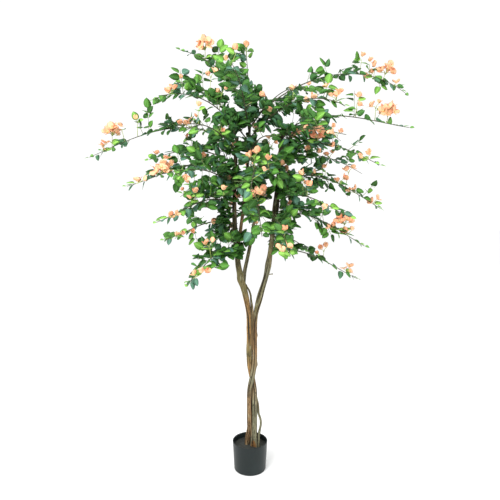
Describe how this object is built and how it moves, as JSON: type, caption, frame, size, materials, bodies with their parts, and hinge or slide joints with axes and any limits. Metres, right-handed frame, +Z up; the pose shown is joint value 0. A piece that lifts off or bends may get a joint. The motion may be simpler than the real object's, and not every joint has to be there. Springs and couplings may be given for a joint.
{
  "type": "artificial bougainvillea tree in a pot",
  "caption": "Artificial bougainvillea tree: twisted natural-wood stems that fork into arching sprays of green leaves with peach bracts, in a small round black plastic pot.",
  "frame": {"origin": "centre of the flat underside of the pot, on the surface that the pot stands on", "axes": "+Z up; -Y towards the viewer of the tree's front; +X to that viewer's right"},
  "size_m": [1.5896, 1.2509, 2.0809],
  "materials": {
    "pot_plastic": "satin black moulded plastic",
    "filler": "dull dark grey-green cement-like filling",
    "bark": "natural bark, matt, brown to olive with darker grooves",
    "vine_bark": "thin natural vine stem, matt",
    "leaves": "printed textile leaves and bracts on coated wire twigs, matt"
  },
  "bodies": {
    "root": {"pot": "pot_plastic", "pot_filler": "filler", "stem_left": "bark", "stem_right": "bark", "stem_thin": "vine_bark", "vine_in_fork": "vine_bark", "bough_outer_left": "bark", "bough_inner_left": "bark", "bough_right": "bark", "bough_leader": "bark", "nub_twig": "bark", "spray_top": "leaves", "spray_top_left": "leaves", "spray_top_right": "leaves", "spray_top_back": "leaves", "spray_top_front": "leaves", "spray_top_corner": "leaves", "spray_upper_left": "leaves", "spray_front_right_high": "leaves", "spray_inner_front": "leaves", "spray_inner_back": "leaves", "spray_left_high": "leaves", "spray_left_long": "leaves", "spray_left_front_high": "leaves", "spray_left_back_high": "leaves", "spray_left_back_long": "leaves", "spray_left_middle": "leaves", "spray_left_front": "leaves", "spray_left_back": "leaves", "spray_left_low": "leaves", "spray_left_side": "leaves", "spray_left_low_front": "leaves", "spray_left_low_back": "leaves", "spray_hanging_left": "leaves", "spray_centre_back": "leaves", "spray_centre_front": "leaves", "spray_centre_side": "leaves", "spray_centre_low": "leaves", "spray_centre_back_low": "leaves", "spray_right_high": "leaves", "spray_right_back_high": "leaves", "spray_right_front_high": "leaves", "spray_right_long": "leaves", "spray_right_back_long": "leaves", "spray_right_middle": "leaves", "spray_right_back": "leaves", "spray_right_front": "leaves", "spray_right_side": "leaves", "spray_right_inner": "leaves", "spray_right_low_front": "leaves", "spray_right_low_back": "leaves", "spray_right_lowest": "leaves"}
  },
  "joints": []
}
